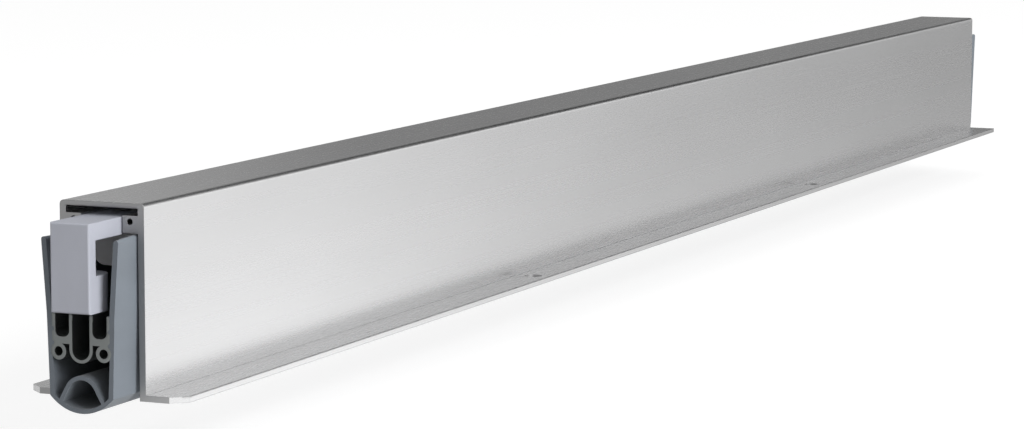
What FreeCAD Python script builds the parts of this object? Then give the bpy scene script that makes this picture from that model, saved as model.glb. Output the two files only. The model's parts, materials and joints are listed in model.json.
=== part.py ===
import FreeCAD, Part
import math
import os

# Automatic door bottom seal, in millimetres.
# X runs along the seal from the trigger's end, Y across the door and Z up.
# The origin is at mid-length, at the centre of the flange screws, on the flange's top face.

V = FreeCAD.Vector
SIDES = (-1, 1)

# Housing
housing_length = 458.0
housing_width = 15.0
housing_height = 30.0
side_wall = 1.1
roof = 0.8
corner_radius = 0.7
t_slot_height = 1.15
rail_height = 2.75
rail_gap = 7.4
port_diameter = 1.0
port_from_wall = 1.4
port_rise = 1.8
flange_reach = 6.6
flange_thickness = 1.0
flange_cut_across = 2.5
flange_cut_along = 2.2
screw_spacing = 167.0
screw_hole = 3.4

# Rubber seal
seal_overhang = 6.85
seal_wall = 0.9
seal_gap = 0.4
lip_gap = 0.3
front_flare = 0.75
rear_flare = 0.3
flare_start = 0.3
bulb_proud = 1.3
bulb_skin = 0.7
bulb_depth = 2.6
bulb_taper = 0.55
arch_room = 1.98
arch_skin = 0.65
arch_radius = 3.2
arch_slope = 57.0
bead_radius = 0.35
bead_depth = 2.4
bead_pitch = 2.2

# Carrier
carrier_height = 7.6
channel_width = 3.1
channel_wall = 0.5
leg_wall = 0.5
cavity_depth = 3.6
cavity_radius = 1.0
cavity_floor = 1.1
ring_diameter = 2.7
ring_hole = 1.5
ring_sink = 0.15
ring_bite = 0.25

# Drive
stroke = 6.2
drop = 10.0
lever_half_swing = 26.0
unit_from_end = 114.0
rod_diameter = 3.0
under_rail = 0.25
rail_play = 0.25
t_head_thickness = 0.8
t_head_play = 0.3
t_head_lift = 0.12
pin_play = 0.12
running_fit = 0.05
side_play = 0.15
rod_pin_diameter = 1.2

# Trigger and its slider
trigger_reach = 9.9
plate_thickness = 2.0
arm_height = 2.75
foot_height = 5.75
foot_length = 6.0
foot_radius = 3.2
foot_room = 0.55
trigger_edge = 0.3
slider_setback = 4.0
slider_length = 19.0
slider_width = 7.8
slider_depth = 5.6
slider_radius = 2.2
arm_seat = 9.0
trigger_screw_diameter = 2.5
trigger_screw_head = 4.6
trigger_screw_length = 7.0

# Levers, yokes, anchors and brackets
lever_thickness = 2.4
lever_end_radius = 1.2
lift_end_radius = 1.5
hub_radius = 1.9
pivot_diameter = 2.0
yoke_pin_diameter = 1.6
lift_pin_diameter = 2.0
yoke_web = 0.45
yoke_length = 4.8
yoke_below_slot = 0.75
fork_wall = 1.25
cheek_wall = 1.2
cheek_radius = 1.8
cheek_width = 5.2
bridge_thickness = 1.5
bridge_width = 8.4
front_pillar_length = 5.0
yoke_room = 2.5
leg_length = 4.0
leg_depth = 13.7
ear_wall = 1.3
ear_length = 5.0
ear_above_pin = 1.6
post_length = 2.0
base_thickness = 1.4
base_width = 9.6
base_tail = 5.2
base_room = 1.1
screw_inset = 2.7
bracket_screw_diameter = 3.0
bracket_screw_head = 4.8
bracket_screw_length = 6.9
drop_room = 0.95
driver_slot = 0.8

# Spring
spring_length = 32.0
spring_turns = 12
spring_wire = 0.6
spring_diameter = 5.0
collar_length = 4.0
collar_diameter = 5.2

# Places that follow from the sizes above
half_length = housing_length / 2
half_width = housing_width / 2
inner_half = half_width - side_wall
slot_top = housing_height - roof
rail_top = slot_top - t_slot_height
rail_bottom = rail_top - rail_height
rail_half_gap = rail_gap / 2
neck_half = rail_half_gap - rail_play
head_half = inner_half - t_head_play
screw_line = half_width + flange_reach / 2

arm_bottom = rail_bottom - under_rail
arm_top = arm_bottom + arm_height
rod_height = arm_bottom + arm_height / 2
rod_radius = rod_diameter / 2

swing = math.radians(lever_half_swing)
upper_arm = stroke / (2 * math.sin(swing))
lower_arm = drop / (2 * math.sin(swing))
fork_top = rod_height - rod_radius - yoke_web
pivot_height = fork_top - side_play - lever_end_radius - upper_arm
lift_height = pivot_height + drop / 2
carrier_top = pivot_height - hub_radius - drop_room
carrier_bottom = carrier_top - carrier_height
lever_half = lever_thickness / 2
fork_inner = lever_half + side_play
fork_outer = fork_inner + fork_wall
cheek_inner = fork_outer + side_play
cheek_outer = cheek_inner + cheek_wall
ear_outer = fork_inner + ear_wall

seal_half = inner_half - seal_gap
seal_inner = seal_half - seal_wall
seal_end = half_length + seal_overhang
cavity_bottom = carrier_top - cavity_depth
carrier_shelf = cavity_bottom - cavity_floor
ring_line = seal_inner - ring_diameter / 2 + ring_bite
ring_height = carrier_shelf - ring_diameter / 2 + ring_sink
lip_top = rail_bottom - under_rail
bulb_bottom = -flange_thickness - bulb_proud
units = {"front": unit_from_end - half_length, "rear": half_length - unit_from_end}
slider_front = -half_length + slider_setback
yoke_half_room = (stroke + yoke_length) / 2 + yoke_room


def block(x, y, z):
    """A box from three pairs of limits."""
    return Part.makeBox(x[1] - x[0], y[1] - y[0], z[1] - z[0], V(x[0], y[0], z[0]))


def bar(x, y, z, radius):
    """A round bar along X between the two limits in x."""
    return Part.makeCylinder(radius, x[1] - x[0], V(x[0], y, z), V(1, 0, 0))


def cross_bar(x, half, z, radius):
    """A round bar across the seal, as long on both sides of the middle."""
    return Part.makeCylinder(radius, 2 * half, V(x, -half, z), V(0, 1, 0))


def post(x, y, z, radius):
    """A round upright bar between the two limits in z."""
    return Part.makeCylinder(radius, z[1] - z[0], V(x, y, z[0]), V(0, 0, 1))


def arm(start, end, radius, half):
    """A flat bar with round ends between two points (x, z), centred on the middle plane."""
    run = V(end[0] - start[0], 0, end[1] - start[1])
    side = V(-run.z, 0, run.x)
    side.normalize()
    side.multiply(radius)
    first = V(start[0], -half, start[1])
    last = V(end[0], -half, end[1])
    corners = [first + side, last + side, last - side, first - side, first + side]
    plate = Part.Face(Part.makePolygon(corners)).extrude(V(0, 2 * half, 0))
    ends = [cross_bar(x, half, z, radius) for x, z in (start, end)]
    return plate.multiFuse(ends).removeSplitter()


def both_sides(x, y, z):
    """The same box on the left and on the right of the middle plane."""
    return [block(x, sorted((side * y[0], side * y[1])), z) for side in SIDES]


def join(first, *others):
    return first.multiFuse(list(others)).removeSplitter()


def take(shape, *cutters):
    return shape.cut(list(cutters)).removeSplitter()


def edges_along_x(shape, y, z):
    """The edges along X at one place of the section."""
    found = []
    for edge in shape.Edges:
        box = edge.BoundBox
        straight = box.YLength < 1e-6 and box.ZLength < 1e-6
        if straight and abs(box.YMin - y) < 1e-4 and abs(box.ZMin - z) < 1e-4:
            found.append(edge)
    return found


def countersunk(x, y, top, head, shank, length):
    """A countersunk screw with its head flush at the top, pointing down."""
    cone_height = (head - shank) / 2
    cone = Part.makeCone(shank / 2, head / 2, cone_height, V(x, y, top - cone_height))
    return join(cone, post(x, y, (top - length, top), shank / 2))


def slotted(screw):
    """A countersunk screw with a driver slot across its head."""
    box = screw.BoundBox
    middle = box.Center.y
    width = (middle - driver_slot / 2, middle + driver_slot / 2)
    return take(screw, block((box.XMin, box.XMax), width, (box.ZMax - driver_slot, box.ZMax)))


def flange_cut(side):
    """The wedge that is cut off a flange's corner at the trigger's end."""
    outer = side * (half_width + flange_reach)
    inner = outer - side * flange_cut_across
    height = V(0, 0, flange_thickness)
    corners = [
        V(-half_length, outer, -flange_thickness),
        V(-half_length, inner, -flange_thickness),
        V(-half_length + flange_cut_along, outer, -flange_thickness),
    ]
    return Part.Face(Part.makePolygon(corners + corners[:1])).extrude(height)


def make_housing():
    x = (-half_length, half_length)
    shell = block(x, (-half_width, half_width), (-flange_thickness, housing_height))
    flange = half_width + flange_reach
    plate = block(x, (-flange, flange), (-flange_thickness, 0))
    body = join(shell, plate)
    room = block(x, (-inner_half, inner_half), (-flange_thickness, rail_bottom))
    gap = block(x, (-rail_half_gap, rail_half_gap), (rail_bottom, rail_top))
    t_slot = block(x, (-inner_half, inner_half), (rail_top, slot_top))
    body = take(body, room, gap, t_slot)
    top_edges = [e for side in SIDES for e in edges_along_x(body, side * half_width, housing_height)]
    body = body.makeFillet(corner_radius, top_edges)
    port_line = inner_half - port_from_wall
    port_height = rail_bottom + port_rise
    ports = [bar(x, side * port_line, port_height, port_diameter / 2) for side in SIDES]
    holes = [
        post(end * screw_spacing / 2, side * screw_line, (-flange_thickness, 0), screw_hole / 2)
        for side in SIDES
        for end in SIDES
    ]
    corners = [flange_cut(side) for side in SIDES]
    return take(body, *ports, *holes, *corners)


def bead_places():
    """Where the rubber's beads sit in the carrier's grooves, as (y, z)."""
    heights = (carrier_top - bead_depth, carrier_top - bead_depth - bead_pitch)
    return [(side * seal_inner, z) for side in SIDES for z in heights]


def lip(side, x, flare):
    """One lip's corners above the carrier, leaning out by the flare at its top."""
    points = (
        (seal_inner, carrier_top),
        (seal_half, carrier_top),
        (seal_half + flare, lip_top),
        (seal_inner + flare, lip_top),
    )
    return [V(x, side * y, z) for y, z in points]


def lip_run(side, start, end):
    """A stretch of one lip between two (x, flare) places."""
    wires = []
    for x, flare in (start, end):
        corners = lip(side, x, flare)
        wires.append(Part.makePolygon(corners + corners[:1]))
    return Part.makeLoft(wires, True, True)


def ridge(x, top, radius):
    """A ridge along X on the bulb's floor, with a rounded top and straight flanks."""
    slope = math.radians(arch_slope)
    peak = top + radius * (1 / math.cos(slope) - 1)
    half = (peak - bulb_bottom) / math.tan(slope)
    corners = [V(x[0], -half, bulb_bottom), V(x[0], half, bulb_bottom), V(x[0], 0, peak)]
    prism = Part.Face(Part.makePolygon(corners + corners[:1])).extrude(V(x[1] - x[0], 0, 0))
    return prism.makeFillet(radius, edges_along_x(prism, 0, peak))


def bulb(x, half, skin):
    """A bar with the bulb's outline: upright above the rings, leaning in below, round at the bottom."""
    foot_half = seal_half - bulb_taper
    radius = (foot_half**2 + bulb_depth**2) / (2 * bulb_depth)
    centre = bulb_bottom + radius
    upright = block(x, (-half, half), (ring_height, carrier_top))
    corners = [
        V(x[0], -half, ring_height),
        V(x[0], half, ring_height),
        V(x[0], half - bulb_taper, bulb_bottom),
        V(x[0], bulb_taper - half, bulb_bottom),
    ]
    leaning = Part.Face(Part.makePolygon(corners + corners[:1])).extrude(V(x[1] - x[0], 0, 0))
    above = block(x, (-half, half), (centre, carrier_top))
    return join(upright, leaning).common(join(bar(x, 0, centre, radius - skin), above))


def make_seal():
    x = (-seal_end, seal_end)
    arch_top = carrier_bottom - arch_room
    outside = bulb(x, seal_half, 0)
    inside = bulb(x, seal_inner, bulb_skin)
    above_arch = inside.cut(ridge(x, arch_top, arch_radius))
    under_arch = inside.common(ridge(x, arch_top - arch_skin, arch_radius - arch_skin))
    body = take(outside, above_arch, under_arch)

    near = half_length + flare_start
    lean = seal_gap - lip_gap
    runs = []
    for side in SIDES:
        runs.append(lip_run(side, (-near, lean), (near, lean)))
        for end, flare in ((-1, front_flare), (1, rear_flare)):
            runs.append(lip_run(side, (end * near, lean), (end * seal_end, flare + lean)))
    beads = [bar(x, y, z, bead_radius) for y, z in bead_places()]
    return take(join(body, *runs, *beads), *rings(ring_diameter))


def rings(diameter):
    """The two round bars at the carrier's lower corners, which bite into the rubber."""
    x = (-seal_end, seal_end)
    return [bar(x, side * ring_line, ring_height, diameter / 2) for side in SIDES]


def cavity(side):
    """The space beside the carrier's channel, open at the top."""
    x = (-seal_end, seal_end)
    limits = sorted((side * (channel_width / 2 + channel_wall), side * (seal_inner - leg_wall)))
    shape = block(x, limits, (cavity_bottom, carrier_top))
    edges = [e for y in limits for e in edges_along_x(shape, y, cavity_bottom)]
    return shape.makeFillet(cavity_radius, edges)


def make_carrier():
    x = (-seal_end, seal_end)
    channel_half = channel_width / 2
    wall_half = channel_half + channel_wall
    turn = carrier_bottom + wall_half

    head = block(x, (-seal_inner, seal_inner), (carrier_shelf, carrier_top))
    keel = block(x, (-wall_half, wall_half), (turn, carrier_shelf))
    legs = both_sides(x, (seal_inner - leg_wall, seal_inner), (ring_height, carrier_shelf))
    round_keel = bar(x, 0, turn, wall_half)
    body = join(head, keel, round_keel, *legs, *rings(ring_diameter))

    channel = block(x, (-channel_half, channel_half), (turn, carrier_top))
    round_channel = bar(x, 0, turn, channel_half)
    cavities = [cavity(side) for side in SIDES]
    grooves = [bar(x, y, z, bead_radius) for y, z in bead_places()]
    return take(body, channel, round_channel, *cavities, *rings(ring_hole), *grooves)


def make_trigger():
    front = -half_length - trigger_reach
    back = front + plate_thickness
    bottom = carrier_top + foot_room
    half = neck_half
    arm_end = slider_front + arm_seat
    plate = block((front, back), (-half, half), (bottom, arm_top))
    top_arm = block((front, arm_end), (-half, half), (arm_bottom, arm_top))
    foot = block((front, back + foot_length), (-half, half), (bottom, bottom + foot_height))
    rear = [
        e
        for e in foot.Edges
        if e.BoundBox.XMin > back + foot_length - 1e-6 and e.BoundBox.YLength < 1e-6
    ]
    foot = foot.makeFillet(foot_radius, rear)
    body = join(plate, top_arm, foot)
    face_edges = [e for e in body.Edges if e.BoundBox.XMax < front + 1e-6]
    body = body.makeFillet(trigger_edge, face_edges)
    return take(body, trigger_screw_shape())


def trigger_screw_shape():
    return countersunk(
        slider_front + arm_seat / 2,
        0,
        arm_top,
        trigger_screw_head,
        trigger_screw_diameter,
        trigger_screw_length,
    )


def make_drive_slider():
    front = slider_front
    back = front + slider_length
    half = slider_width / 2
    bottom = arm_bottom - slider_depth
    body = block((front, back), (-half, half), (bottom, arm_bottom))
    lower = [e for side in SIDES for e in edges_along_x(body, side * half, bottom)]
    body = body.makeFillet(slider_radius, lower)
    neck_front = front + arm_seat
    return take(
        join(body, guide_head((neck_front, back), neck_half, t_head_lift)),
        bar((neck_front, back), 0, rod_height, rod_radius),
        cross_bar(slider_pin_place(), neck_half, rod_height, rod_pin_diameter / 2),
        trigger_screw_shape(),
    )


def guide_head(x, half, lift):
    """A neck between the rails with a flat head in the T-slot, lifted off the rails if it slides."""
    head_bottom = rail_top + lift
    neck = block(x, (-half, half), (arm_bottom, head_bottom))
    head = block(x, (-head_half, head_half), (head_bottom, head_bottom + t_head_thickness))
    return join(neck, head)


def slider_pin_place():
    return slider_front + (arm_seat + slider_length) / 2


def yoke_place(pivot):
    """Where a yoke stands at rest."""
    return pivot - stroke / 2


def make_yoke(pivot):
    x = yoke_place(pivot)
    limits = (x - yoke_length / 2, x + yoke_length / 2)
    slot_low = pivot_height + upper_arm * math.cos(swing)
    slot_high = pivot_height + upper_arm
    slot_radius = yoke_pin_diameter / 2 + pin_play
    bottom = slot_low - slot_radius - yoke_below_slot
    fork = block(limits, (-fork_outer, fork_outer), (bottom, arm_bottom))
    gap = block(limits, (-fork_inner, fork_inner), (bottom, fork_top))
    slot = arm((x, slot_low), (x, slot_high), slot_radius, fork_outer)
    return take(
        join(fork, guide_head(limits, neck_half, t_head_lift)),
        gap,
        slot,
        bar(limits, 0, rod_height, rod_radius),
        cross_bar(x, neck_half, rod_height, rod_pin_diameter / 2),
    )


def yoke_pin_place(pivot):
    return pivot - upper_arm * math.sin(swing), pivot_height + upper_arm * math.cos(swing)


def lift_pin_place(pivot):
    return pivot + lower_arm * math.cos(swing), lift_height


def make_lever(pivot):
    centre = (pivot, pivot_height)
    upper = yoke_pin_place(pivot)
    lower = lift_pin_place(pivot)
    hub = cross_bar(pivot, fork_outer, pivot_height, hub_radius)
    body = join(
        arm(centre, upper, lever_end_radius, lever_half),
        arm(centre, lower, lift_end_radius, lever_half),
        hub,
    )
    return take(
        body,
        cross_bar(pivot, fork_outer, pivot_height, pivot_diameter / 2 + running_fit),
        cross_bar(upper[0], lever_half, upper[1], yoke_pin_diameter / 2),
        cross_bar(lower[0], lever_half, lower[1], lift_pin_diameter / 2),
    )


def ear_limits(pivot):
    """The ears' limits in x, around the whole way that the lift pin moves along them."""
    nearest = lower_arm * math.cos(swing)
    middle = pivot + (nearest + lower_arm) / 2
    return middle - ear_length / 2, middle + ear_length / 2


def leg_limits(pivot):
    """The limits in x of the anchor's leg, which keeps the carrier from moving lengthwise."""
    start = ear_limits(pivot)[1] + post_length + side_play
    return start, start + leg_length


def make_anchor(pivot):
    front = pivot - yoke_half_room - front_pillar_length
    leg = leg_limits(pivot)
    back = leg[1]
    bridge_bottom = arm_bottom - bridge_thickness
    half = bridge_width / 2
    bridge = block((front, back), (-half, half), (bridge_bottom, arm_bottom))
    window = block(
        (pivot - yoke_half_room, pivot + yoke_half_room),
        (-cheek_inner, cheek_inner),
        (bridge_bottom, arm_bottom),
    )
    front_head = guide_head((front, pivot - yoke_half_room), rail_half_gap, 0)
    rear_head = guide_head((leg[0] - post_length, back), rail_half_gap, 0)
    guide_leg = block(leg, (-lever_half, lever_half), (bridge_bottom - leg_depth, bridge_bottom))
    body = join(take(bridge, window), front_head, rear_head, guide_leg)
    cheeks = [anchor_cheek(pivot, side, bridge_bottom) for side in SIDES]
    return take(
        join(body, *cheeks),
        cross_bar(pivot, cheek_outer, pivot_height, pivot_diameter / 2),
        bar((front, back), 0, rod_height, rod_radius + running_fit),
    )


def anchor_cheek(pivot, side, top):
    """One of the two plates that hold the lever's pivot pin."""
    inner = side * cheek_inner
    height = V(0, side * cheek_wall, 0)
    half = cheek_width / 2
    corners = [
        V(pivot - half, inner, top),
        V(pivot + half, inner, top),
        V(pivot + cheek_radius, inner, pivot_height),
        V(pivot - cheek_radius, inner, pivot_height),
    ]
    plate = Part.Face(Part.makePolygon(corners + corners[:1])).extrude(height)
    start = V(pivot, inner, pivot_height)
    nose = Part.makeCylinder(cheek_radius, cheek_wall, start, V(0, side, 0))
    return join(plate, nose)


def bracket_screw_places(pivot):
    base = base_limits(pivot)
    return base[0] + screw_inset, base[1] - screw_inset


def base_limits(pivot):
    start = pivot + hub_radius + base_room
    end = leg_limits(pivot)[1] + side_play + post_length + base_tail
    return start, end


def bracket_screw_shapes(pivot):
    return [
        countersunk(
            x,
            0,
            carrier_top + base_thickness,
            bracket_screw_head,
            bracket_screw_diameter,
            bracket_screw_length,
        )
        for x in bracket_screw_places(pivot)
    ]


def make_bracket(pivot):
    base_top = carrier_top + base_thickness
    top = lift_height + ear_above_pin
    ears = ear_limits(pivot)
    leg = leg_limits(pivot)
    base = block(base_limits(pivot), (-base_width / 2, base_width / 2), (carrier_top, base_top))
    front_post = block((ears[0], leg[0] - side_play), (-ear_outer, ear_outer), (base_top, top))
    rear_start = leg[1] + side_play
    rear_post = block((rear_start, rear_start + post_length), (-ear_outer, ear_outer), (base_top, top))
    lever_gap = block(ears, (-fork_inner, fork_inner), (base_top, top))
    leg_hole = block(
        (leg[0] - side_play, rear_start), (-fork_inner, fork_inner), (carrier_top, base_top)
    )
    near = lift_pin_place(pivot)
    far = (pivot + lower_arm, lift_height)
    slot = arm(near, far, lift_pin_diameter / 2 + pin_play, ear_outer)
    body = take(join(base, front_post, rear_post), lever_gap, leg_hole, slot)
    return take(body, *bracket_screw_shapes(pivot))


def rod_pin_places():
    """Each cross pin of the rod, as its place along X and half its length."""
    places = [(slider_pin_place(), neck_half), (sum(collar_limits()) / 2, collar_diameter / 2)]
    return places + [(yoke_place(pivot), neck_half) for pivot in units.values()]


def make_rod_pins():
    radius = rod_pin_diameter / 2
    return Part.makeCompound([cross_bar(x, half, rod_height, radius) for x, half in rod_pin_places()])


def make_push_rod():
    start = slider_front + arm_seat
    end = yoke_place(units["rear"]) + yoke_length / 2
    radius = rod_pin_diameter / 2
    holes = [cross_bar(x, rod_radius, rod_height, radius) for x, half in rod_pin_places()]
    return take(bar((start, end), 0, rod_height, rod_radius), *holes)


def spring_limits():
    """The spring lies between its collar and the front anchor."""
    end = units["front"] - yoke_half_room - front_pillar_length
    return end - spring_length, end


def collar_limits():
    end = spring_limits()[0]
    return end - collar_length, end


def make_spring_collar():
    x = collar_limits()
    return take(
        bar(x, 0, rod_height, collar_diameter / 2),
        bar(x, 0, rod_height, rod_radius),
        cross_bar(sum(x) / 2, collar_diameter / 2, rod_height, rod_pin_diameter / 2),
    )


def make_return_spring():
    x = spring_limits()
    radius = (spring_diameter - spring_wire) / 2
    height = spring_length - 2 * spring_wire
    helix = Part.makeHelix(height / spring_turns, height, radius)
    section = Part.Wire(Part.makeCircle(spring_wire / 2, V(radius, 0, 0), V(0, 1, 0)))
    coil = Part.Wire(helix.Edges).makePipeShell([section], True, True)
    coil.rotate(V(0, 0, 0), V(0, 1, 0), 90)
    coil.translate(V(x[0] + spring_wire, 0, rod_height))
    return coil


def make_unit(name, pivot):
    """The pieces of one lowering unit."""
    upper = yoke_pin_place(pivot)
    lower = lift_pin_place(pivot)
    return {
        "yoke_" + name: make_yoke(pivot),
        "anchor_" + name: make_anchor(pivot),
        "pivot_pin_" + name: cross_bar(pivot, cheek_outer, pivot_height, pivot_diameter / 2),
        "lever_" + name: make_lever(pivot),
        "yoke_pin_" + name: cross_bar(upper[0], fork_outer, upper[1], yoke_pin_diameter / 2),
        "lift_pin_" + name: cross_bar(lower[0], ear_outer, lower[1], lift_pin_diameter / 2),
        "bracket_" + name: make_bracket(pivot),
    }


def make_parts():
    parts = {
        "housing": make_housing(),
        "seal": make_seal(),
        "carrier": make_carrier(),
        "trigger": make_trigger(),
        "trigger_screw": slotted(trigger_screw_shape()),
        "drive_slider": make_drive_slider(),
        "push_rod": make_push_rod(),
        "rod_pins": make_rod_pins(),
        "spring_collar": make_spring_collar(),
        "return_spring": make_return_spring(),
    }
    for name, pivot in units.items():
        parts.update(make_unit(name, pivot))
    screws = [slotted(screw) for pivot in units.values() for screw in bracket_screw_shapes(pivot)]
    parts["bracket_screws"] = Part.makeCompound(screws)
    return parts


os.makedirs("parts", exist_ok=True)
for node, shape in make_parts().items():
    shape.exportStep("parts/" + node + ".step")
    print(node, len(shape.Solids), round(shape.Volume, 2), shape.isValid())
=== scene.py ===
import json
import math

import bmesh
import bpy
from mathutils import Matrix, Vector
from mathutils.geometry import tessellate_polygon


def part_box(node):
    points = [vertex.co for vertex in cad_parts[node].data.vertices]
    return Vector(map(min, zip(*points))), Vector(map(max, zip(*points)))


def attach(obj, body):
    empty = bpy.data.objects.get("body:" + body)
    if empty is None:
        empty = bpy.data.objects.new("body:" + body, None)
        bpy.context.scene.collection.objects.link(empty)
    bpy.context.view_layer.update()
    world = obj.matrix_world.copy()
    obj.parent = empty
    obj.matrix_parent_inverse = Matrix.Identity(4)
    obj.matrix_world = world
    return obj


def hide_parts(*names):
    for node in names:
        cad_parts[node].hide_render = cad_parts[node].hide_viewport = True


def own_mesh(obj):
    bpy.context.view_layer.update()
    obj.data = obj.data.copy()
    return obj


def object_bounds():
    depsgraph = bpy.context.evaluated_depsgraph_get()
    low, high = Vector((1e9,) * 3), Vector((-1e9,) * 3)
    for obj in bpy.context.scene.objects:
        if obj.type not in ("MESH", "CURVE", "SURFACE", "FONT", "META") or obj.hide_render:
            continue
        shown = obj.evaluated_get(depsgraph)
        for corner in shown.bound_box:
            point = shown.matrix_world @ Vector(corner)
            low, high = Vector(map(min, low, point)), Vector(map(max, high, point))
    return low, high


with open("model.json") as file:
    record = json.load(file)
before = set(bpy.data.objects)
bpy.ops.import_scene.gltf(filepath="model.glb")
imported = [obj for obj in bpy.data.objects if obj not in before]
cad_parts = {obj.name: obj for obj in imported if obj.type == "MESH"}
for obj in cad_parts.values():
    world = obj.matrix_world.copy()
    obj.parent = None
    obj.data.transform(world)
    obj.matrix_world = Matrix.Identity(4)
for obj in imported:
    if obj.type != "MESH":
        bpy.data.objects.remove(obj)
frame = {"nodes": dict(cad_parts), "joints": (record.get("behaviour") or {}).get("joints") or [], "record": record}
cad_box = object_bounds()
nodes = frame["nodes"]
slots = {part["node"]: part["material_slot"] for part in frame["record"]["subparts"]}

MM = 0.001

# Camera, in millimetres, degrees and pixels of the photograph
IMAGE_WIDTH = 1024
FOCAL_PIXELS = 3523.66
CAMERA_PLACE = (-701.61, -274.56, 96.02)
CAMERA_YAW = 23.459
CAMERA_PITCH = -7.136
CAMERA_ROLL = 0.062
SENSOR_WIDTH = 36.0

# Nearest and farthest that the camera sees, in metres
CLIP_START = 0.01
CLIP_END = 50

# Rubber seal's section, in millimetres and degrees
SEAL_HALF = 6.0
SEAL_WALL = 0.9
BULB_DEPTH = 2.6
BULB_SKIN = 0.7
BULB_TAPER = 0.55
ARCH_ROOM = 1.98
ARCH_SKIN = 0.65
ARCH_RADIUS = 3.4
ARCH_SLOPE = 58.0
BEAD_RADIUS = 0.35
BEAD_DEPTHS = (2.4, 4.6)
RING_RADIUS = 1.35
RING_DEPTH = 5.9
LIP_LEAN = 0.1
LIP_STEPS = 12
CUT_EDGE = 0.1

# Flare of the seal's lips towards its ends: the far end's share, and how it grows
REAR_FLARE = 0.4
FLARE_POWER = 1.3
FLARE_STEPS = 10

# Return spring, in millimetres
SPRING_WIRE = 0.6
SPRING_DIAMETER = 5.0
SPRING_TURNS = 12
CLOSED_TURNS = 1.5
POINTS_PER_TURN = 28
POINTS_AROUND = 10

# Angle in degrees above which an edge of a new mesh is sharp
SHARP_ANGLE = 40

# Grain of the finishes, in features per metre along X, Y and Z
DIE_LINES = (3, 2600, 2600)
ALUMINIUM_HAZE = (14, 60, 60)
SAW_MARKS = (500, 500, 9000)
SPARK_GRAIN = (5000, 5000, 5000)
FLOW_MARKS = (90, 140, 60)
RUBBER_LINES = (25, 2600, 2600)
RUBBER_GRAIN = (6000, 6000, 6000)
RUBBER_BLOOM = (60, 160, 160)
TURNING_MARKS = (2500, 400, 400)
COAT_SPOTS = (300, 300, 300)
CAST_SKIN = (700, 700, 700)
CAST_MOTTLE = (120, 120, 120)

# Radius of the finishes' edges, in metres, and how deep the aluminium's outermost edges reach
INNER_EDGE = 0.1e-3
OUTER_EDGE = 0.5e-3
OUTER_DEPTH = 1.0e-3
MOULDED_EDGE = 0.15e-3
STEEL_EDGE = 0.1e-3
CAST_EDGE = 0.15e-3

# Relief of the finishes, in metres
SAW_RELIEF = 2e-6
SPARK_RELIEF = 5e-6
RUBBER_RELIEF = 9e-6
TURNING_RELIEF = 4e-6
CAST_RELIEF = 8e-6

# Roughness that the die lines and the saw add
DIE_SPREAD = 0.008
SAW_ROUGHER = 0.18

# Share of X in the normal from which a face counts as a cut end, and from which it does so in full
CUT_SHARES = (0.8, 0.95)

# A line inside the seal, and the width of the change between its inner faces, which get painted shade, and its
# outer faces, in metres
SEAL_MIDDLE = (0, 0, 8.0 * MM)
TURN_OVER = 1e-4

# Strength of the world on the object and as it is seen, and the floor's colour and glow
AMBIENT = 0.58
WHITE = 1.0
FLOOR_TONE = 0.42
FLOOR_GLOW = 0.7

# Key lamp, in metres and watts
KEY_PLACE = (-0.5, -1.4, 0.62)
KEY_TARGET = (-0.15, 0, 0)
KEY_SIZE = (1.0, 0.8)
KEY_POWER = 23

# Studio around the object, in metres
FLOOR_REACH = 6.0
NEAR_WALL = -1.6
FAR_WALL = 1.1
LEFT_WALL = 1.7
RIGHT_WALL = -2.0
WALL_HEIGHT = 2.0
FAR_HEIGHT = 2.5
FAR_SPAN = (-1.0, 1.6)
NEAR_SPAN = (-1.8, 1.6)
CEILING = 2.2
DARK_PLACE = 1.05
DARK_SPAN = (-0.6, 0.3)
DARK_HEIGHT = (0.26, 0.9)
GROUND_LIFT = 0.5 * MM
GROUND_SPLIT = -0.25
GROUND_END = 1.04
GROUND_REACH = 1.0

# Greys of the studio cards: stops (place from 0 to 1, level) by bearing, within the given slopes
BEARING_SLOPES = (-0.6, 0.8)
RIGHT_GREYS = ((0.03, 0.91), (0.08, 0.72), (0.13, 0.54), (0.18, 0.43), (0.22, 0.33), (0.3, 0.24))
LEFT_GREYS = ((0.42, 0.26), (0.5, 0.21), (0.56, 0.22), (0.62, 0.4), (0.75, 0.55))

# Factors on those greys: stops along the card's height or width
HIGH_FADE = ((0.11, 0.88), (0.4, 0.75), (0.6, 0.6))
RIGHT_FADE = ((0.02, 1.0), (0.045, 1.8), (0.06, 1.65), (0.075, 1.22)) + HIGH_FADE
LEFT_FADE = ((0.02, 1.0), (0.06, 1.25)) + HIGH_FADE
GROUND_FADE = ((0.75, 0.9), (0.9, 0.96), (0.97, 1.1), (1.0, 1.2))

# Greys of the other cards: stops along their length or width
LENGTH_GREYS = ((0.0, 0.85), (0.5, 0.6), (1.0, 0.35))
NEAR_GROUND_GREYS = ((0.0, 0.5), (1.0, 0.75))
NEAR_GREYS = ((0.0, 0.85), (1.0, 0.6))
CEILING_GREYS = ((0.0, 0.6), (0.5, 0.4), (1.0, 0.25))
DARK_GREYS = ((0.0, 0.05), (1.0, 0.05))


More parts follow.
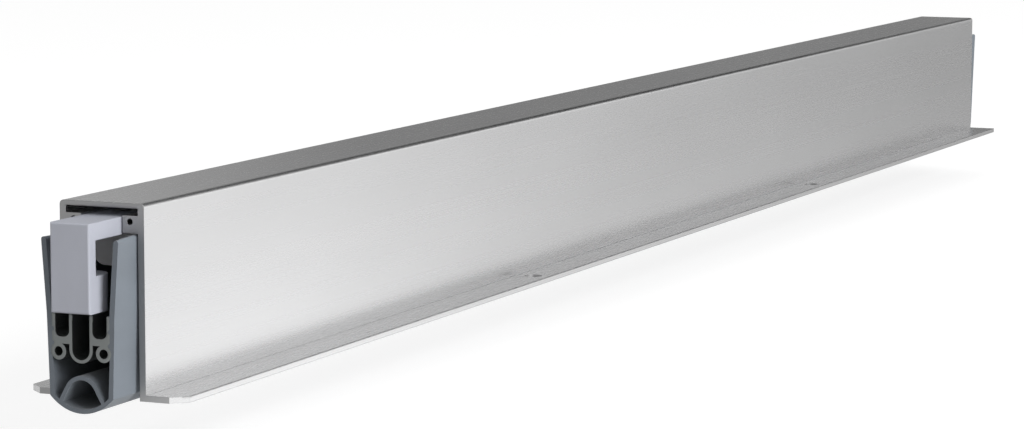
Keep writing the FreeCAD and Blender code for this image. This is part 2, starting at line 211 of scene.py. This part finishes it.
def add_camera():
    yaw, pitch, roll = (math.radians(a) for a in (CAMERA_YAW, CAMERA_PITCH, CAMERA_ROLL))
    level = math.cos(pitch)
    forward = Vector((math.cos(yaw) * level, math.sin(yaw) * level, math.sin(pitch)))
    level_right = Vector((math.sin(yaw), -math.cos(yaw), 0))
    level_up = level_right.cross(forward)
    right = level_right * math.cos(roll) + level_up * math.sin(roll)
    up = level_up * math.cos(roll) - level_right * math.sin(roll)
    turn = Matrix((right, up, -forward)).transposed().to_4x4()
    data = bpy.data.cameras.new("camera")
    data.sensor_width = SENSOR_WIDTH
    data.lens = SENSOR_WIDTH * FOCAL_PIXELS / IMAGE_WIDTH
    data.clip_start = CLIP_START
    data.clip_end = CLIP_END
    camera = bpy.data.objects.new("camera", data)
    camera.matrix_world = Matrix.Translation(Vector(CAMERA_PLACE) * MM) @ turn
    bpy.context.scene.collection.objects.link(camera)
    bpy.context.scene.camera = camera


class Material:
    """A node material with short ways to add and join nodes."""

    def __init__(self, name):
        self.material = bpy.data.materials.new(name)
        self.material.use_nodes = True
        self.tree = self.material.node_tree
        self.shader = self.tree.nodes["Principled BSDF"]

    def add(self, kind, **values):
        """A new node, with its input sockets or its settings set by name."""
        node = self.tree.nodes.new("ShaderNode" + kind)
        for key, value in values.items():
            name = key.replace("_", " ")
            if name in node.inputs:
                node.inputs[name].default_value = value
            else:
                setattr(node, key, value)
        return node

    def join(self, source, target):
        self.tree.links.new(source, target)

    def put(self, value, target):
        """Sets a socket to a number, or joins it to a node's output."""
        if isinstance(value, (int, float)):
            target.default_value = value
        else:
            self.join(value, target)

    def feed(self, source, name):
        """Joins a node's output to a socket of the shader."""
        self.join(source, self.shader.inputs[name])

    def set(self, **values):
        """Sets sockets of the shader by name."""
        for key, value in values.items():
            self.shader.inputs[key.replace("_", " ")].default_value = value

    def axes(self, coordinates):
        """The outputs X, Y and Z of one kind of texture coordinates."""
        place = self.add("TexCoord")
        parts = self.add("SeparateXYZ")
        self.join(place.outputs[coordinates], parts.inputs["Vector"])
        return parts.outputs

    def noise(self, stretch, detail):
        """Noise whose grain has the given number of features per metre along X, Y and Z."""
        place = self.add("TexCoord")
        mapping = self.add("Mapping", Scale=stretch)
        node = self.add("TexNoise", Scale=1.0, Detail=detail, Roughness=0.55)
        self.join(place.outputs["Object"], mapping.inputs["Vector"])
        self.join(mapping.outputs["Vector"], node.inputs["Vector"])
        return node.outputs["Fac"]

    def span(self, value, low, high, start=0.3, end=0.7):
        """Runs from low to high as the value goes from start to end, the range that noise mostly keeps to."""
        node = self.add("MapRange", From_Min=start, From_Max=end, To_Min=low, To_Max=high)
        self.join(value, node.inputs["Value"])
        return node.outputs["Result"]

    def mix(self, share, first, second):
        """Runs from the first number to the second as the share goes from 0 to 1."""
        return self.span(share, first, second, start=0, end=1)

    def math(self, operation, first, second=0):
        node = self.add("Math", operation=operation)
        for value, socket in zip((first, second), node.inputs):
            self.put(value, socket)
        return node.outputs["Value"]

    def ramp(self, value, stops):
        """A colour that runs through the stops (place, colour)."""
        node = self.add("ValToRGB")
        elements = node.color_ramp.elements
        while len(elements) < len(stops):
            elements.new(1.0)
        for element, (place, colour) in zip(elements, stops):
            element.position = place
            element.color = (*colour, 1)
        self.join(value, node.inputs["Fac"])
        return node.outputs["Color"]

    def levels(self, value, stops):
        """A grey that runs through the stops (place, level)."""
        return self.ramp(value, [(place, (level, level, level)) for place, level in stops])

    def mottle(self, noise, colour, darkest, lightest=1.0):
        """The colour, which the noise varies between two factors."""
        return self.ramp(noise, [(0.3, shade(colour, darkest)), (0.7, shade(colour, lightest))])

    def tint(self, colour, factor):
        """The colour multiplied by a grey factor."""
        node = self.add("VectorMath", operation="SCALE")
        self.join(colour, node.inputs["Vector"])
        self.join(factor, node.inputs["Scale"])
        return node.outputs["Vector"]

    def cut_ends(self):
        """1 on the faces across X, where the extrusion is sawn off, and 0 elsewhere."""
        across = self.math("ABSOLUTE", self.axes("Normal")["X"])
        return self.span(across, 0, 1, *CUT_SHARES)

    def facing_out(self, middle):
        """Above 0 on the faces that turn away from a line along X through the given point."""
        place = self.add("TexCoord")
        offset = self.add("VectorMath", operation="SUBTRACT")
        offset.inputs[1].default_value = middle
        across = self.add("VectorMath", operation="MULTIPLY")
        across.inputs[1].default_value = (0, 1, 1)
        outward = self.add("VectorMath", operation="DOT_PRODUCT")
        self.join(place.outputs["Object"], offset.inputs[0])
        self.join(offset.outputs["Vector"], across.inputs[0])
        self.join(across.outputs["Vector"], outward.inputs[0])
        self.join(place.outputs["Normal"], outward.inputs[1])
        return outward.outputs["Value"]

    def near_outside(self, half, top, depth):
        """1 within the depth of the given half width and of the given top, and 0 elsewhere."""
        axes = self.axes("Object")
        beside = self.math("GREATER_THAN", self.math("ABSOLUTE", axes["Y"]), half - depth)
        above = self.math("GREATER_THAN", axes["Z"], top - depth)
        return self.math("MAXIMUM", beside, above)

    def bump(self, value, height, edge=None):
        """Fine relief of the given height in metres, over edges rounded by the given radius.

        The radius is a number or a node's output.
        """
        node = self.add("Bump", Distance=height)
        self.join(value, node.inputs["Height"])
        if edge:
            rounded = self.add("Bevel", samples=6)
            self.put(edge, rounded.inputs["Radius"])
            self.join(rounded.outputs["Normal"], node.inputs["Normal"])
        self.feed(node.outputs["Normal"], "Normal")


def shade(colour, factor):
    return tuple(c * factor for c in colour)


def extruded(name, colour, roughness, saw_and_shade_tone, node):
    """Extruded aluminium: die lines along X, sawn ends that are rougher and darker, partly from the saw's dull
    finish and partly as painted shade, soft outer edges.
    """
    m = Material(name)
    m.set(Metallic=1.0)
    lines = m.noise(DIE_LINES, detail=2.0)
    haze = m.noise(ALUMINIUM_HAZE, detail=3.0)
    saw = m.noise(SAW_MARKS, detail=2.0)
    cut = m.cut_ends()
    body = m.mottle(haze, colour, darkest=0.95)
    # The sawn ends are darkened partly for their dull finish and partly as painted shade.
    m.feed(m.tint(body, m.mix(cut, 1.0, saw_and_shade_tone)), "Base Color")
    drawn = m.span(lines, roughness - DIE_SPREAD, roughness + DIE_SPREAD)
    m.feed(m.math("ADD", drawn, m.mix(cut, 0, SAW_ROUGHER)), "Roughness")
    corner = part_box(node)[1]
    outside = m.near_outside(corner.y, corner.z, OUTER_DEPTH)
    m.bump(m.math("MULTIPLY", saw, cut), SAW_RELIEF, m.mix(outside, INNER_EDGE, OUTER_EDGE))
    return m.material


def moulded(name, colour, roughness):
    """Moulded plastic with a fine spark-eroded grain."""
    m = Material(name)
    fine = m.noise(SPARK_GRAIN, detail=2.0)
    flow = m.noise(FLOW_MARKS, detail=3.0)
    m.feed(m.mottle(flow, colour, darkest=0.9), "Base Color")
    m.feed(m.span(fine, roughness - 0.07, roughness + 0.07), "Roughness")
    m.bump(fine, SPARK_RELIEF, MOULDED_EDGE)
    return m.material


def rubber(name, colour, inside_shade_tone):
    """Extruded rubber: matt, with soft lines along X, a dusty bloom, and painted shade that darkens its inner
    faces.
    """
    m = Material(name)
    m.set(Specular_IOR_Level=0.35, Sheen_Weight=0.15, Sheen_Roughness=0.6)
    lines = m.noise(RUBBER_LINES, detail=3.0)
    fine = m.noise(RUBBER_GRAIN, detail=2.0)
    bloom = m.noise(RUBBER_BLOOM, detail=4.0)
    body = m.mottle(bloom, colour, darkest=0.9, lightest=1.06)
    # Painted shade: the faces turned towards the seal's middle line are darkened to the inner tone.
    painted_shade = m.span(m.facing_out(SEAL_MIDDLE), inside_shade_tone, 1.0, -TURN_OVER, TURN_OVER)
    m.feed(m.tint(body, painted_shade), "Base Color")
    m.feed(m.span(bloom, 0.62, 0.78), "Roughness")
    relief = m.math("ADD", m.math("MULTIPLY", lines, 0.7), m.math("MULTIPLY", fine, 0.3))
    m.bump(relief, RUBBER_RELIEF)
    return m.material


def plated(name, colour, roughness):
    """Turned or drawn steel with a bright zinc coat."""
    m = Material(name)
    m.set(Metallic=1.0)
    turned = m.noise(TURNING_MARKS, detail=2.0)
    spots = m.noise(COAT_SPOTS, detail=4.0)
    m.feed(m.mottle(spots, colour, darkest=0.85), "Base Color")
    m.feed(m.span(spots, roughness + 0.1, roughness - 0.04), "Roughness")
    m.bump(turned, TURNING_RELIEF, STEEL_EDGE)
    return m.material


def die_cast(name, colour, roughness):
    """Die-cast zinc with a dull, slightly mottled skin."""
    m = Material(name)
    m.set(Metallic=0.85)
    skin = m.noise(CAST_SKIN, detail=4.0)
    spots = m.noise(CAST_MOTTLE, detail=3.0)
    m.feed(m.mottle(spots, colour, darkest=0.82), "Base Color")
    m.feed(m.span(skin, roughness - 0.06, roughness + 0.1), "Roughness")
    m.bump(skin, CAST_RELIEF, CAST_EDGE)
    return m.material


FINISHES = {
    # The fourth number darkens the sawn ends: partly their dull finish, partly painted shade.
    "aluminium": extruded("satin_aluminium", (0.86, 0.86, 0.865), 0.27, 0.46, "housing"),
    # The carrier's dark colour is painted shade, for an end that sits in shade.
    "carrier_aluminium": extruded("dark_aluminium_painted_shade", (0.34, 0.36, 0.355), 0.4, 0.78, "carrier"),
    # The rubber's last number is the painted shade on the seal's inner faces.
    "rubber": rubber("grey_rubber", (0.172, 0.197, 0.227), 0.62),
    "light_plastic": moulded("light_grey_plastic", (0.475, 0.49, 0.553), 0.5),
    # The slider's plastic is lighter than its own dark grey: painted light that makes up for the shade it sits in
    # inside the housing.
    "dark_plastic": moulded("grey_plastic_painted_light", (0.72, 0.715, 0.72), 0.5),
    "anchor_plastic": moulded("dark_grey_plastic", (0.06, 0.065, 0.07), 0.5),
    "zinc": die_cast("die_cast_zinc", (0.42, 0.43, 0.44), 0.4),
    "steel": plated("bright_steel", (0.6, 0.6, 0.61), 0.28),
}


def dress_nodes():
    for node, slot in slots.items():
        materials = nodes[node].data.materials
        materials.clear()
        materials.append(FINISHES[slot])


def add_piece(name, mesh, body, node):
    """A mesh piece that rides on a body and stands for a CAD node."""
    piece = bpy.data.objects.new(name, mesh)
    bpy.context.scene.collection.objects.link(piece)
    mesh.materials.append(FINISHES[slots[node]])
    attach(piece, body)
    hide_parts(node)
    return piece


def joint_range(name):
    return next(joint for joint in frame["joints"] if joint["name"] == name)["range_m"]


def arc(centre, radius, start, end, steps):
    """Points (y, z) on an arc about a centre (y, z), between two angles in degrees from straight up."""
    middle, height = centre
    angles = [math.radians(start + (end - start) * i / steps) for i in range(steps + 1)]
    return [(middle + radius * math.sin(a), height + radius * math.cos(a)) for a in angles]


def angle_at(width, radius):
    """The angle in degrees from straight up at which a circle is that wide."""
    return math.degrees(math.asin(width / radius))


def circle_through(half_span, rise):
    """The radius of an arc with that half span and rise."""
    return (half_span**2 + rise**2) / (2 * rise)


class SealSection:
    """The rubber's section, as points (y, z) in millimetres, fitted to the CAD seal and carrier."""

    def __init__(self):
        low, high = (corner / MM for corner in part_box("seal"))
        carrier_low, carrier_high = (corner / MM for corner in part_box("carrier"))
        self.end = high.x
        self.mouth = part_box("housing")[1].x / MM
        self.bottom = low.z
        self.lip_top = high.z
        self.full_flare = high.y - SEAL_HALF - LIP_LEAN
        self.carrier_top = carrier_high.z
        self.ring = (carrier_high.y - RING_RADIUS, carrier_high.z - RING_DEPTH)
        self.inner = SEAL_HALF - SEAL_WALL

        self.bulb_radius = circle_through(SEAL_HALF, BULB_DEPTH)
        self.bulb_centre = self.bottom + self.bulb_radius
        self.floor_radius = self.bulb_radius - BULB_SKIN
        self.arch_top = carrier_low.z - ARCH_ROOM

    def rise(self, z):
        """How far up the free lip a height is, from 0 at the carrier to 1 at its tip."""
        return min(max((z - self.carrier_top) / (self.lip_top - self.carrier_top), 0), 1)

    def fall(self, z):
        """How far down the bulb a height is, from 0 at the carrier's rings to 1 at the bottom."""
        top = self.ring[1]
        return min(max((top - z) / (top - self.bottom), 0), 1)

    def lower_right(self):
        """The bulb's outside from the middle of its bottom to the wall."""
        widest = angle_at(SEAL_HALF, self.bulb_radius)
        return arc((0, self.bulb_centre), self.bulb_radius, 180, 180 - widest, steps=14)

    def upright_right(self):
        """The wall and lip, up the outside and down the inside to the carrier's top."""
        tip = SEAL_WALL / 2
        reach = self.lip_top - tip - self.carrier_top
        heights = [self.carrier_top + reach * i / LIP_STEPS for i in range(LIP_STEPS + 1)]
        outside = [(SEAL_HALF, z) for z in heights]
        inside = [(self.inner, z) for z in heights[::-1]]
        top = arc((SEAL_HALF - tip, self.lip_top - tip), tip, 90, -90, steps=8)
        return outside + top[1:-1] + inside

    def keyed_right(self):
        """The wall's inside down the carrier, with its beads and the groove of the carrier's ring."""
        points = []
        for depth in BEAD_DEPTHS:
            points.extend(arc((self.inner, self.carrier_top - depth), BEAD_RADIUS, 0, -180, steps=6))
        opening = math.degrees(math.acos((self.inner - self.ring[0]) / RING_RADIUS))
        points.extend(arc(self.ring, RING_RADIUS, 90 - opening, 90 + opening, steps=8))
        return points

    def ridge_right(self, top, radius):
        """A ridge's right flank from its foot on the bulb's floor up to its rounded top."""
        slope = math.radians(ARCH_SLOPE)
        fall = math.tan(slope)
        peak = top + radius * (1 / math.cos(slope) - 1)
        rise = self.bulb_centre - peak
        square = 1 + fall**2
        root = math.sqrt((rise * fall) ** 2 - square * (rise**2 - self.floor_radius**2))
        foot = (root - rise * fall) / square
        return [(foot, peak - foot * fall)] + arc((0, top - radius), radius, ARCH_SLOPE, 0, steps=10)

    def arch_right(self):
        """From the inside foot of the wall over the arch to its middle."""
        arch = self.ridge_right(self.arch_top, ARCH_RADIUS)
        start = 180 - angle_at(self.inner, self.floor_radius)
        end = 180 - angle_at(arch[0][0], self.floor_radius)
        return arc((0, self.bulb_centre), self.floor_radius, start, end, steps=3) + arch[1:]

    def hollow_right(self):
        """The closed hollow under the arch, from the middle of its floor to the middle of its roof."""
        roof = self.ridge_right(self.arch_top - ARCH_SKIN, ARCH_RADIUS - ARCH_SKIN)
        end = 180 - angle_at(roof[0][0], self.floor_radius)
        return arc((0, self.bulb_centre), self.floor_radius, 180, end, steps=12) + roof[1:]

    def outline(self):
        right = self.lower_right() + self.upright_right() + self.keyed_right() + self.arch_right()
        return both_halves(right)

    def hollow(self):
        return both_halves(self.hollow_right())

    def placed(self, points, x, flare):
        """The section's points in metres at one place along X, with the lips flared and the bulb drawn in."""
        placed = []
        for y, z in points:
            lean = self.rise(z) * (LIP_LEAN + self.full_flare * flare)
            drawn = 1 - self.fall(z) * BULB_TAPER / SEAL_HALF
            placed.append(Vector((x, y * drawn + math.copysign(lean, y), z)) * MM)
        return placed


def both_halves(right):
    """A closed outline from its right half, which starts and ends on the middle line."""
    left = [(-y, z) for y, z in right[-2:0:-1]]
    return right + left


def seal_stations(section):
    """Places along X with the lips' flare there: none inside the housing, growing towards the cut ends."""
    stations = []
    for i in range(FLARE_STEPS + 1):
        share = 1 - i / FLARE_STEPS
        x = section.mouth + (section.end - section.mouth) * share
        stations.append((x, share**FLARE_POWER))
    front = [(-x, flare) for x, flare in stations]
    rear = [(x, flare * REAR_FLARE) for x, flare in stations]
    return front + rear[::-1]


def sweep(name, stations):
    """A mesh swept through stations, each a list of closed loops, with its two ends filled."""
    bm = bmesh.new()
    rings = [[[bm.verts.new(p) for p in loop] for loop in loops] for loops in stations]
    for first, second in zip(rings, rings[1:]):
        for a, b in zip(first, second):
            for i in range(len(a)):
                j = (i + 1) % len(a)
                bm.faces.new((a[i], a[j], b[j], b[i]))
    for loops, points in ((rings[0], stations[0]), (rings[-1], stations[-1])):
        corners = [vertex for loop in loops for vertex in loop]
        for triangle in tessellate_polygon(points):
            bm.faces.new([corners[i] for i in triangle])
    bmesh.ops.recalc_face_normals(bm, faces=bm.faces)
    mesh = bpy.data.meshes.new(name)
    bm.to_mesh(mesh)
    bm.free()
    mesh.shade_smooth()
    mesh.set_sharp_from_angle(angle=math.radians(SHARP_ANGLE))
    return mesh


def add_seal():
    section = SealSection()
    outline, hollow = section.outline(), section.hollow()
    stations = [
        [section.placed(outline, x, flare), section.placed(hollow, x, flare)]
        for x, flare in seal_stations(section)
    ]
    piece = add_piece("rubber_seal", sweep("rubber_seal", stations), "carrier", "seal")
    bevel = piece.modifiers.new("cut edges", "BEVEL")
    bevel.width = CUT_EDGE * MM
    bevel.segments = 2
    bevel.limit_method = "ANGLE"
    bevel.angle_limit = math.radians(SHARP_ANGLE)


def add_spring():
    """A compression spring with closed ends around the push rod."""
    low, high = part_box("return_spring")
    radius = (SPRING_DIAMETER - SPRING_WIRE) / 2 * MM
    wire = SPRING_WIRE / 2 * MM
    height = (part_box("push_rod")[0].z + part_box("push_rod")[1].z) / 2
    start, end = low.x + wire, high.x - wire
    turns = SPRING_TURNS + 2 * CLOSED_TURNS
    closed_pitch = 2 * wire
    open_pitch = (end - start - 2 * CLOSED_TURNS * closed_pitch) / SPRING_TURNS
    steps = [k * math.tau / POINTS_AROUND for k in range(POINTS_AROUND)]
    stations = []
    for i in range(int(turns * POINTS_PER_TURN) + 1):
        turn = i / POINTS_PER_TURN
        head = min(turn, CLOSED_TURNS)
        middle = min(max(turn - CLOSED_TURNS, 0), SPRING_TURNS)
        tail = max(turn - CLOSED_TURNS - SPRING_TURNS, 0)
        x = start + (head + tail) * closed_pitch + middle * open_pitch
        angle = turn * math.tau
        out = Vector((0, math.cos(angle), math.sin(angle)))
        centre = Vector((x, 0, height)) + out * radius
        ring = [centre + wire * (out * math.cos(a) + Vector((math.sin(a), 0, 0))) for a in steps]
        stations.append([ring])
    piece = add_piece("coil_spring", sweep("coil_spring", stations), "housing", "return_spring")
    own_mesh(piece)


def upright(start, end, z):
    """Corners of an upright plane over the line between two points (x, y)."""
    return [(*start, z[0]), (*end, z[0]), (*end, z[1]), (*start, z[1])]


def lying(x, y, z):
    """Corners of a level plane between two places along X and two along Y."""
    return [(x[0], y[0], z), (x[1], y[0], z), (x[1], y[1], z), (x[0], y[1], z)]


def add_plane(name, corners, material):
    mesh = bpy.data.meshes.new(name)
    mesh.from_pydata(corners, [], [(0, 1, 2, 3)])
    mesh.materials.append(material)
    plane = bpy.data.objects.new(name, mesh)
    bpy.context.scene.collection.objects.link(plane)
    return plane


def seen_directly(tree):
    """1 for rays from the camera and in reflections, 0 for the rays that light the object."""
    path = tree.nodes.new("ShaderNodeLightPath")
    total = path.outputs["Is Camera Ray"]
    for name in ("Is Glossy Ray", "Is Transmission Ray"):
        either = tree.nodes.new("ShaderNodeMath")
        either.operation = "MAXIMUM"
        tree.links.new(total, either.inputs[0])
        tree.links.new(path.outputs[name], either.inputs[1])
        total = either.outputs["Value"]
    return total


def add_floor():
    """A pale floor where the lowered seal comes to rest, see-through from below."""
    low = cad_box[0][2] - joint_range("lower")[1]
    span = (-FLOOR_REACH, FLOOR_REACH)
    m = Material("floor")
    m.set(Base_Color=(FLOOR_TONE, FLOOR_TONE, FLOOR_TONE, 1), Roughness=0.9, Specular_IOR_Level=0.0)
    m.set(Emission_Color=(1, 1, 1, 1))
    m.feed(m.math("MULTIPLY", seen_directly(m.tree), FLOOR_GLOW), "Emission Strength")
    m.feed(m.math("SUBTRACT", 1, m.add("NewGeometry").outputs["Backfacing"]), "Alpha")
    add_plane("floor", lying(span, span, low), m.material)


def add_world():
    """White where it is seen, and plain soft light on the object."""
    world = bpy.data.worlds.new("world")
    bpy.context.scene.world = world
    world.use_nodes = True
    tree = world.node_tree
    background = tree.nodes["Background"]
    background.inputs["Color"].default_value = (1, 1, 1, 1)
    strength = tree.nodes.new("ShaderNodeMapRange")
    strength.inputs["To Min"].default_value = AMBIENT
    strength.inputs["To Max"].default_value = WHITE
    tree.links.new(seen_directly(tree), strength.inputs["Value"])
    tree.links.new(strength.outputs["Result"], background.inputs["Strength"])


def bearing(m):
    """The bearing of a place on a card from one fixed point of the studio, from 0 to 1.

    The point is CAMERA_PLACE mirrored in the housing's middle plane.
    """
    axes = m.axes("Object")
    along = m.math("SUBTRACT", axes["X"], CAMERA_PLACE[0] * MM)
    across = m.math("ADD", axes["Y"], CAMERA_PLACE[1] * MM)
    return m.span(m.math("DIVIDE", across, along), 0, 1, *BEARING_SLOPES)


def add_card(name, corners, stops, axis=None, fade=None):
    """A grey studio card that shows only in reflections.

    Its level runs through the stops (place from 0 to 1, level) along one axis, or else with the
    bearing, times the fade (axis, stops).
    """
    m = Material(name)
    m.tree.nodes.remove(m.shader)
    glow = m.add("Emission")
    place = m.axes("Generated")[axis] if axis else bearing(m)
    m.join(m.levels(place, stops), glow.inputs["Color"])
    if fade:
        fade_axis, fade_stops = fade
        m.join(m.levels(m.axes("Generated")[fade_axis], fade_stops), glow.inputs["Strength"])
    m.join(glow.outputs["Emission"], m.tree.nodes["Material Output"].inputs["Surface"])
    card = add_plane(name, corners, m.material)
    card.visible_camera = False
    card.visible_diffuse = False
    card.visible_shadow = False
    card.visible_transmission = False


def add_far_cards():
    """The wall past the far end, and a dark card before it for the housing's rounded edges."""
    height = (0, FAR_HEIGHT)
    right = upright((FAR_WALL, FAR_SPAN[0]), (FAR_WALL, 0), height)
    left = upright((FAR_WALL, 0), (FAR_WALL, FAR_SPAN[1]), height)
    dark = upright((DARK_PLACE, DARK_SPAN[0]), (DARK_PLACE, DARK_SPAN[1]), DARK_HEIGHT)
    add_card("far_right", right, RIGHT_GREYS, fade=("Z", RIGHT_FADE))
    add_card("far_left", left, LEFT_GREYS, fade=("Z", LEFT_FADE))
    add_card("dark_card", dark, DARK_GREYS, "Y")


def add_ground_cards():
    """Greys beside the object, just above its lowest point at rest."""
    low = cad_box[0][2] + GROUND_LIFT
    right, left = (-GROUND_REACH, 0), (0, GROUND_REACH)
    beside = lying((GROUND_SPLIT, GROUND_END), right, low)
    add_card("right_floor", beside, RIGHT_GREYS, fade=("Y", GROUND_FADE))
    add_card("left_floor", lying((NEAR_WALL, GROUND_END), left, low), LENGTH_GREYS, "X")
    add_card("near_floor", lying((NEAR_WALL, GROUND_SPLIT), right, low), NEAR_GROUND_GREYS, "X")


def add_other_cards():
    """The left, right and near walls and the ceiling."""
    height = (0, WALL_HEIGHT)
    left = upright((NEAR_WALL, LEFT_WALL), (FAR_WALL, LEFT_WALL), height)
    right = upright((NEAR_WALL, RIGHT_WALL), (FAR_WALL, RIGHT_WALL), height)
    near = upright((NEAR_WALL, NEAR_SPAN[0]), (NEAR_WALL, NEAR_SPAN[1]), height)
    above = lying((NEAR_WALL, FAR_WALL), (RIGHT_WALL, LEFT_WALL), CEILING)
    add_card("left_card", left, LENGTH_GREYS, "X")
    add_card("right_card", right, LENGTH_GREYS, "X")
    add_card("front_card", near, NEAR_GREYS, "Y")
    add_card("ceiling", above, CEILING_GREYS, "X")


def add_key_lamp():
    """A large soft lamp, which the metal doesn't reflect."""
    data = bpy.data.lights.new("key", "AREA")
    data.shape = "RECTANGLE"
    data.size, data.size_y = KEY_SIZE
    data.energy = KEY_POWER
    lamp = bpy.data.objects.new("key", data)
    lamp.location = KEY_PLACE
    direction = Vector(KEY_TARGET) - Vector(KEY_PLACE)
    lamp.rotation_euler = direction.to_track_quat("-Z", "Y").to_euler()
    lamp.visible_glossy = False
    bpy.context.scene.collection.objects.link(lamp)


bpy.context.scene.view_settings.view_transform = "Standard"
add_camera()
dress_nodes()
add_seal()
add_spring()
add_floor()
add_world()
add_far_cards()
add_ground_cards()
add_other_cards()
add_key_lamp()
